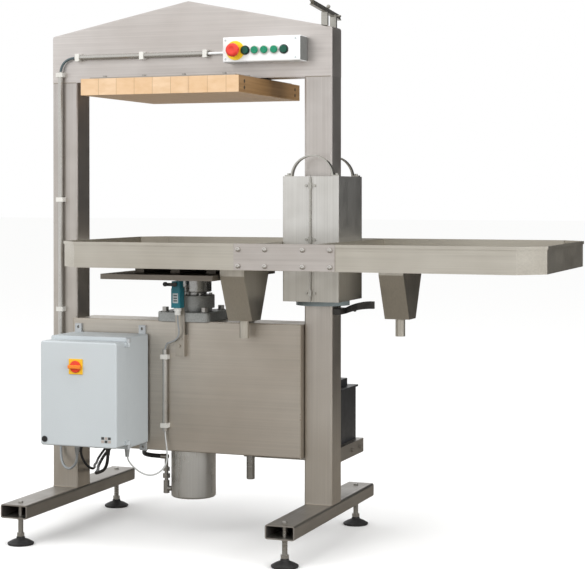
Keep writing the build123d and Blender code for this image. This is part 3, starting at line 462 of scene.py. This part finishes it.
# --- Cylinder and ram --------------------------------------------------------------
# A turned steel barrel with a cast head plate and gland, and a ground rod.
dress(brushed("barrel_steel", (0.72, 0.73, 0.72), "z", rough=0.3), "cylinder_barrel")
cast, tree, shader = finish_of("cast_grey", metal=0.6, rough=0.45)
sand = cloud(tree, 220, (1, 1, 1), 6.0)
cast_colour = mixed(tree, spread(tree, sand, 0, 1), (0.3, 0.31, 0.3), (0.42, 0.43, 0.42))
tree.links.new(cast_colour, shader.inputs["Base Color"])
raised(tree, shader, sand, 0.0003)
dress(cast, "cylinder_head")
dress(brushed("rod_steel", (0.4, 0.4, 0.39), "x", rough=0.25), "ram_rod", "guide_rod")
dress(brushed("bolt_steel", (0.45, 0.44, 0.42), "x", rough=0.3), "cylinder_bolts", "port_fitting")
dress(brushed("platen_steel", (0.26, 0.235, 0.205), "x", rough=0.45), "lower_platen")

# --- Tubs, hoppers and sleeve ------------------------------------------------------
# Folded sheet tubs, welded drain hoppers and a boxed sleeve that turns on a nylon
# bearing, joined by two bolted splice plates.
tub_steel = brushed("tub_steel", (0.64, 0.61, 0.54), "x", rough=0.42)
dress(tub_steel, "tub_left", "tub_right")
dress(brushed("splice_steel", (0.61, 0.57, 0.54), "x", rough=0.4), "splice_plates")
splice_low, splice_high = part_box("splice_plates")
splice_middle = (splice_low.x + splice_high.x) / 2
head_steel = brushed("head_steel", (0.62, 0.6, 0.57), "x", rough=0.22)
dome = lathed(
    "dome",
    [
        (0.0074, -0.0042),
        (0.0076, 0),
        (0.0068, 0.0016),
        (0.0046, 0.0026),
        (0.0034, 0.0028),
        (0.003, 0.0016),
        (0.0003, 0.0014),
    ],
    20,
)
front_heads = []
for x in (-0.14, -0.0575, 0.0575, 0.14):
    for z in (0.861, 0.909):
        front_heads.append((splice_middle + x, splice_low.y + 0.0006, z))
back_heads = [(x, -y, z) for x, y, z in front_heads]
set_out("splice_heads_front", dome, front_heads, head_steel, "tub_turntable", to_front)
set_out("splice_heads_back", dome, back_heads, head_steel, "tub_turntable", to_back)
sleeve_steel = brushed("sleeve_steel", (0.73, 0.72, 0.69), "z", low_tone=(0.58, 0.56, 0.51), span=(0.8, 0.93))
dress(sleeve_steel, "sleeve_shell_left", "sleeve_shell_right")
dress(brushed("handle_steel", (0.5, 0.49, 0.45), "x", rough=0.3), "sleeve_fittings", "cloth_hanger")
hopper_steel = brushed("hopper_steel", (0.62, 0.59, 0.52), "z", rough=0.36)
dress(hopper_steel, "drain_hopper_left", "drain_hopper_right")
nylon, tree, shader = finish_of("bearing_nylon", rough=0.45)
nylon_colour = mixed(tree, cloud(tree, 30), (0.16, 0.2, 0.21), (0.22, 0.26, 0.27))
tree.links.new(nylon_colour, shader.inputs["Base Color"])
dress(nylon, "column_carriage")
black_steel, tree, shader = finish_of("black_steel", metal=0.5, rough=0.45)
scale_marks = cloud(tree, 40, (1, 1, 1), 6.0)
black_colour = mixed(tree, spread(tree, scale_marks, 0, 1), (0.02, 0.02, 0.02), (0.07, 0.065, 0.06))
tree.links.new(black_colour, shader.inputs["Base Color"])
dress(black_steel, "swivel_stop")


# --- Electrical fittings -----------------------------------------------------------
# Steel conduit with white clips, a teal limit switch and a powder-coated cabinet.
def moulded(
    name,
    colour,
    rough=0.45,
    grain=900,
    deep=0.00008,
    shade=0.85,
):
    """Moulded plastic or powder coat: fine orange peel and a faint change of tone."""
    plastic, tree, shader = finish_of(name, rough=rough)
    dark = tuple(k * shade for k in colour)
    patches = spread(tree, cloud(tree, 7, (1, 1, 1), 3.0), 0, 1)
    tree.links.new(mixed(tree, patches, dark, colour), shader.inputs["Base Color"])
    sheen = spread(tree, cloud(tree, 40), rough - 0.06, rough + 0.06)
    tree.links.new(sheen, shader.inputs["Roughness"])
    raised(tree, shader, cloud(tree, grain, (1, 1, 1), 2.0), deep)
    return plastic


dress(brushed("conduit_steel", (0.6, 0.59, 0.56), "z", rough=0.28), "conduits")
dress(moulded("clip_white", (0.72, 0.71, 0.67)), "pipe_clips")
dress(brushed("strip_steel", (0.5, 0.46, 0.4), "z"), "switch_bracket")
dress(moulded("switch_teal", (0.008, 0.17, 0.22), rough=0.35), "limit_switch")
dress(black_steel, "switch_lever")
dress(moulded("roller_black", (0.02, 0.02, 0.02)), "switch_roller", "door_lock")
cabinet_paint = moulded("cabinet_paint", (0.51, 0.55, 0.57), rough=0.42, grain=420, deep=0.0003, shade=0.97)
dress(cabinet_paint, "cabinet_body", "cabinet_door")
dress(moulded("fitting_grey", (0.45, 0.47, 0.48)), "cabinet_fittings", "control_gear")
dress(moulded("knob_red", (0.62, 0.03, 0.01), rough=0.3), "isolator_knob", "estop_button")
dress(moulded("station_white", (0.86, 0.87, 0.87), rough=0.4), "station_housing")
dress(moulded("collar_yellow", (0.9, 0.62, 0.02)), "estop_collar")
deep_green = moulded("deep_green", (0.0, 0.07, 0.04), rough=0.28)
green = moulded("button_green", (0.0, 0.22, 0.11), rough=0.28)
for number in range(1, 6):
    dress(deep_green if number in (1, 5) else green, f"push_button_{number}")
unit_black = moulded("unit_black", (0.025, 0.026, 0.028), rough=0.4)
dress(unit_black, "power_unit")
dress(brushed("shelf_steel", (0.4, 0.38, 0.35), "x"), "unit_shelf")


def cut_block(name, low, high, finish, body, edge=0.0005):
    """A small block between two corners with its edges taken off."""
    shape = bmesh.new()
    bmesh.ops.create_cube(shape, size=1)
    middle_point = [(a + b) / 2 for a, b in zip(low, high)]
    reach = [b - a for a, b in zip(low, high)]
    bmesh.ops.scale(shape, vec=reach, verts=shape.verts)
    bmesh.ops.translate(shape, vec=middle_point, verts=shape.verts)
    bmesh.ops.bevel(shape, geom=shape.edges, offset=edge, segments=2, affect="EDGES", profile=0.5)
    data = bpy.data.meshes.new(name)
    shape.to_mesh(data)
    shape.free()
    return shown(name, data, finish, body)


# Limit switch: a silver data plate with two screws, and a white cable gland below.
switch_low, switch_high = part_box("limit_switch")
switch_x = (switch_low.x + switch_high.x) / 2
plate_paint = moulded("plate_silver", (0.5, 0.55, 0.56), rough=0.35)
cut_block(
    "switch_plate",
    (switch_x - 0.009, switch_low.y - 0.0006, 0.733),
    (switch_x + 0.009, switch_low.y + 0.0006, 0.763),
    plate_paint,
    "frame",
)
ink = moulded("ink_grey", (0.05, 0.07, 0.08))
for row in range(3):
    cut_block(
        f"switch_plate_bar_{row}",
        (switch_x - 0.006, switch_low.y - 0.0009, 0.738 + row * 0.008),
        (switch_x + 0.006, switch_low.y - 0.0003, 0.742 + row * 0.008),
        ink,
        "frame",
        0.0001,
    )
white_plastic = moulded("gland_white", (0.8, 0.8, 0.77))
gland = lathed(
    "gland",
    [
        (0.0055, -0.0125),
        (0.0085, -0.0125),
        (0.0092, -0.011),
        (0.0092, 0),
        (0.0118, 0),
        (0.0118, 0.0105),
        (0.0055, 0.0105),
    ],
    24,
)
gland_y = (switch_low.y + switch_high.y) / 2
shown("switch_gland", gland, white_plastic, "frame", Matrix.Translation((switch_x, gland_y, 0.7078)))

# Cabinet: yellow isolator plate, red knob with its orange grip, data plate, reliefs.
middle = -0.35
knob_low, knob_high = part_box("isolator_knob")
knob_x = (knob_low.x + knob_high.x) / 2
knob_z = (knob_low.z + knob_high.z) / 2
yellow = moulded("isolator_yellow", (0.9, 0.52, 0.02))
cut_block(
    "isolator_plate",
    (knob_x - 0.0234, -0.3054, knob_z - 0.0234),
    (knob_x + 0.0234, -0.3021, knob_z + 0.0234),
    yellow,
    "door",
    0.0012,
)
knob_red = moulded("knob_red_gloss", (0.75, 0.05, 0.015), rough=0.3)
disc_profile = [(0.018, 0), (0.0182, 0.003), (0.0165, 0.0052), (0.012, 0.0058), (0.001, 0.006)]
knob_disc = lathed("knob_disc", disc_profile, 40)
disc_place = Matrix.Translation((knob_x, -0.3056, knob_z)) @ Matrix.Rotation(math.pi / 2, 4, "X")
shown("isolator_disc", knob_disc, knob_red, "isolator", disc_place)
knob_grip = cut_block(
    "isolator_grip",
    (knob_x - 0.021, -0.3185, knob_z - 0.0055),
    (knob_x + 0.021, -0.3095, knob_z + 0.0055),
    moulded("grip_orange", (0.9, 0.24, 0.02), rough=0.3),
    "isolator",
    0.002,
)
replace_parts(knob_grip, "isolator_knob")
plate_left = knob_x + 0.085
for column_number in range(3):
    for row in range(2):
        left = plate_left + column_number * 0.0112
        bottom = 0.3195 + row * 0.0098
        cell_tone = (0.05, 0.05, 0.05) if (column_number + row) % 2 else (0.42, 0.36, 0.33)
        cut_block(
            f"plate_cell_{column_number}_{row}",
            (left, -0.3024, bottom),
            (left + 0.0095, -0.3014, bottom + 0.008),
            moulded(f"cell_tone_{column_number}_{row}", cell_tone),
            "door",
            0.0002,
        )
cut_block(
    "plate_backing",
    (plate_left - 0.002, -0.3021, 0.3175),
    (plate_left + 0.034, -0.3011, 0.3395),
    plate_paint,
    "door",
    0.0002,
)
relief = lathed("relief", [(0.0045, -0.022), (0.0056, -0.022), (0.0078, -0.001), (0.0078, 0.001)], 24)
gland_foot = 0.278
glands = [(middle + reach, depth, gland_foot) for reach, depth in ((-0.324, -0.165), (-0.158, -0.15))]
set_out("gland_reliefs_grey", relief, glands, moulded("relief_grey", (0.3, 0.31, 0.31)), "frame", upright)
glands = [(middle + reach, depth, gland_foot) for reach, depth in ((-0.336, -0.12), (-0.224, -0.15))]
relief_black = moulded("relief_black", (0.02, 0.02, 0.02))
set_out("gland_reliefs_black", relief, glands, relief_black, "frame", upright)

# Button station: dark end cap, four cover screws, button bezels and the stop's head.
station_face = -0.106
cap_grey = moulded("cap_grey", (0.14, 0.145, 0.14))
cut_block(
    "station_end_cap",
    (0.0438, -0.1035, 1.4705),
    (0.0472, -0.0475, 1.5415),
    cap_grey,
    "frame",
    0.0012,
)
cover_profile = [(0.0034, -0.001), (0.0034, 0.0004), (0.0027, 0.0008), (0.0011, 0.0003), (0.0002, 0.0002)]
cover_screw = lathed("cover_screw", cover_profile, 16)
screw_spots = []
for x in (-0.197, 0.03):
    for z in (1.4775, 1.5345):
        screw_spots.append((x, station_face, z))
set_out("station_screws", cover_screw, screw_spots, plate_paint, "frame", to_front)
bezel = lathed(
    "bezel",
    [
        (0.0112, 0),
        (0.0142, 0),
        (0.0144, 0.0024),
        (0.0134, 0.0036),
        (0.0116, 0.0036),
        (0.0112, 0.0024),
    ],
    36,
)
button_height = 1.503
button_reaches = (0.218, 0.249, 0.28, 0.312, 0.343)
bezel_spots = [(middle + reach, station_face - 0.0002, button_height) for reach in button_reaches]
bezel_dark = moulded("bezel_dark", (0.025, 0.03, 0.03))
bezel_pale = moulded("bezel_pale", (0.62, 0.62, 0.58))
set_out("bezels_dark", bezel, [bezel_spots[0], bezel_spots[4]], bezel_dark, "frame", to_front)
set_out("bezels_pale", bezel, bezel_spots[1:4], bezel_pale, "frame", to_front)
stop_low, stop_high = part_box("estop_button")
stop_x = (stop_low.x + stop_high.x) / 2
stop_z = (stop_low.z + stop_high.z) / 2
mushroom = lathed(
    "mushroom",
    [
        (0.0118, 0),
        (0.0118, 0.0165),
        (0.0188, 0.0185),
        (0.0206, 0.0215),
        (0.0205, 0.0285),
        (0.0188, 0.0335),
        (0.0155, 0.0362),
        (0.0112, 0.0371),
        (0.009, 0.0363),
        (0.0075, 0.0355),
        (0.0005, 0.0352),
    ],
    48,
)
stop_place = Matrix.Translation((stop_x, station_face, stop_z)) @ Matrix.Rotation(math.pi / 2, 4, "X")
stop_red = moulded("stop_red", (0.72, 0.045, 0.03), rough=0.32)
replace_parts(shown("estop_head", mushroom, stop_red, "estop", stop_place), "estop_button")


# --- Cables and hose ---------------------------------------------------------------
# Round PVC leads from the cabinet's glands, a loop of thin switch lead, and the black
# hose from the power unit to the cylinder. Each hangs between two fixed ends.
def lead(name, diameter, points, sheath):
    """A cord on one smooth curve through its route's points."""
    data = bpy.data.curves.new(name, "CURVE")
    data.dimensions = "3D"
    data.bevel_depth = diameter / 2
    data.bevel_resolution = 5
    data.resolution_u = 12
    data.use_fill_caps = True
    line = data.splines.new("NURBS")
    line.points.add(len(points) - 1)
    for point, (x, y, z) in zip(line.points, points):
        point.co = (middle + x, y, z, 1)
    line.order_u = 3
    line.use_endpoint_u = True
    data.materials.append(sheath)
    piece = bpy.data.objects.new(name + "_sheath", data)
    bpy.context.collection.objects.link(piece)
    x, y, z = points[0]
    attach(piece, "frame")
    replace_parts(piece, name)


grey_sheath = moulded("grey_sheath", (0.3, 0.32, 0.33), rough=0.5, grain=1500)
pale_sheath = moulded("pale_sheath", (0.55, 0.56, 0.55), rough=0.5, grain=1500)
teal_sheath = moulded("teal_sheath", (0.09, 0.12, 0.13), rough=0.5, grain=1500)
black_sheath = moulded("black_sheath", (0.015, 0.015, 0.016), rough=0.45, grain=1200)
lead(
    "corner_cable",
    0.008,
    [
        (-0.4395, -0.056, 1.446),
        (-0.4395, -0.056, 1.466),
        (-0.427, -0.056, 1.488),
        (-0.407, -0.056, 1.499),
        (-0.388, -0.056, 1.5015),
        (-0.374, -0.056, 1.5015),
    ],
    teal_sheath,
)
lead(
    "control_cable",
    0.008,
    [
        (-0.4395, -0.056, 0.288),
        (-0.4395, -0.056, 0.254),
        (-0.432, -0.068, 0.222),
        (-0.41, -0.092, 0.203),
        (-0.376, -0.12, 0.199),
        (-0.346, -0.146, 0.214),
        (-0.327, -0.162, 0.232),
        (-0.324, -0.165, 0.262),
        (-0.324, -0.165, 0.278),
    ],
    grey_sheath,
)
lead(
    "motor_cable",
    0.008,
    [
        (-0.336, -0.12, 0.278),
        (-0.336, -0.12, 0.25),
        (-0.326, -0.104, 0.214),
        (-0.316, -0.078, 0.197),
        (-0.326, -0.04, 0.196),
        (-0.35, 0.002, 0.196),
        (-0.368, 0.054, 0.194),
        (-0.39, 0.106, 0.2),
        (-0.368, 0.146, 0.246),
        (-0.3, 0.134, 0.3),
        (-0.19, 0.102, 0.34),
        (-0.08, 0.1, 0.372),
        (0.02, 0.112, 0.404),
        (0.084, 0.146, 0.43),
        (0.116, 0.178, 0.452),
        (0.139, 0.208, 0.47),
        (0.17, 0.208, 0.47),
    ],
    black_sheath,
)
lead(
    "supply_cable",
    0.01,
    [
        (-0.224, -0.15, 0.278),
        (-0.224, -0.15, 0.242),
        (-0.246, -0.126, 0.208),
        (-0.286, -0.084, 0.19),
        (-0.32, -0.044, 0.178),
        (-0.344, 0.002, 0.172),
        (-0.366, 0.06, 0.168),
        (-0.398, 0.122, 0.172),
        (-0.388, 0.168, 0.216),
        (-0.32, 0.166, 0.27),
        (-0.21, 0.172, 0.296),
        (-0.1, 0.17, 0.3),
        (0.01, 0.172, 0.316),
        (0.078, 0.183, 0.354),
        (0.1, 0.197, 0.402),
        (0.108, 0.214, 0.446),
        (0.138, 0.232, 0.471),
        (0.17, 0.232, 0.471),
    ],
    black_sheath,
)
lead(
    "switch_cable_upper",
    0.005,
    [
        (-0.005, -0.11, 0.697),
        (-0.005, -0.11, 0.672),
        (0.001, -0.108, 0.64),
        (-0.012, -0.104, 0.618),
        (-0.036, -0.097, 0.609),
        (-0.052, -0.09, 0.604),
        (-0.059, -0.086, 0.584),
        (-0.059, -0.086, 0.574),
    ],
    grey_sheath,
)
lead(
    "switch_cable_lower",
    0.005,
    [
        (-0.059, -0.086, 0.345),
        (-0.059, -0.086, 0.32),
        (-0.046, -0.098, 0.272),
        (-0.042, -0.108, 0.236),
        (-0.06, -0.118, 0.208),
        (-0.092, -0.128, 0.196),
        (-0.126, -0.138, 0.21),
        (-0.154, -0.149, 0.24),
        (-0.158, -0.15, 0.262),
        (-0.158, -0.15, 0.278),
    ],
    pale_sheath,
)
lead(
    "hydraulic_hose",
    0.014,
    [
        (-0.107, -0.01, 0.24),
        (-0.15, -0.01, 0.24),
        (-0.1945, 0.0345, 0.24),
        (-0.1945, 0.0975, 0.262),
        (-0.15, 0.142, 0.318),
        (-0.09, 0.143, 0.356),
        (-0.03, 0.144, 0.367),
        (0.03, 0.144, 0.366),
        (0.11, 0.148, 0.346),
        (0.17, 0.157, 0.322),
        (0.21, 0.165, 0.31),
        (0.236, 0.165, 0.31),
    ],
    black_sheath,
)
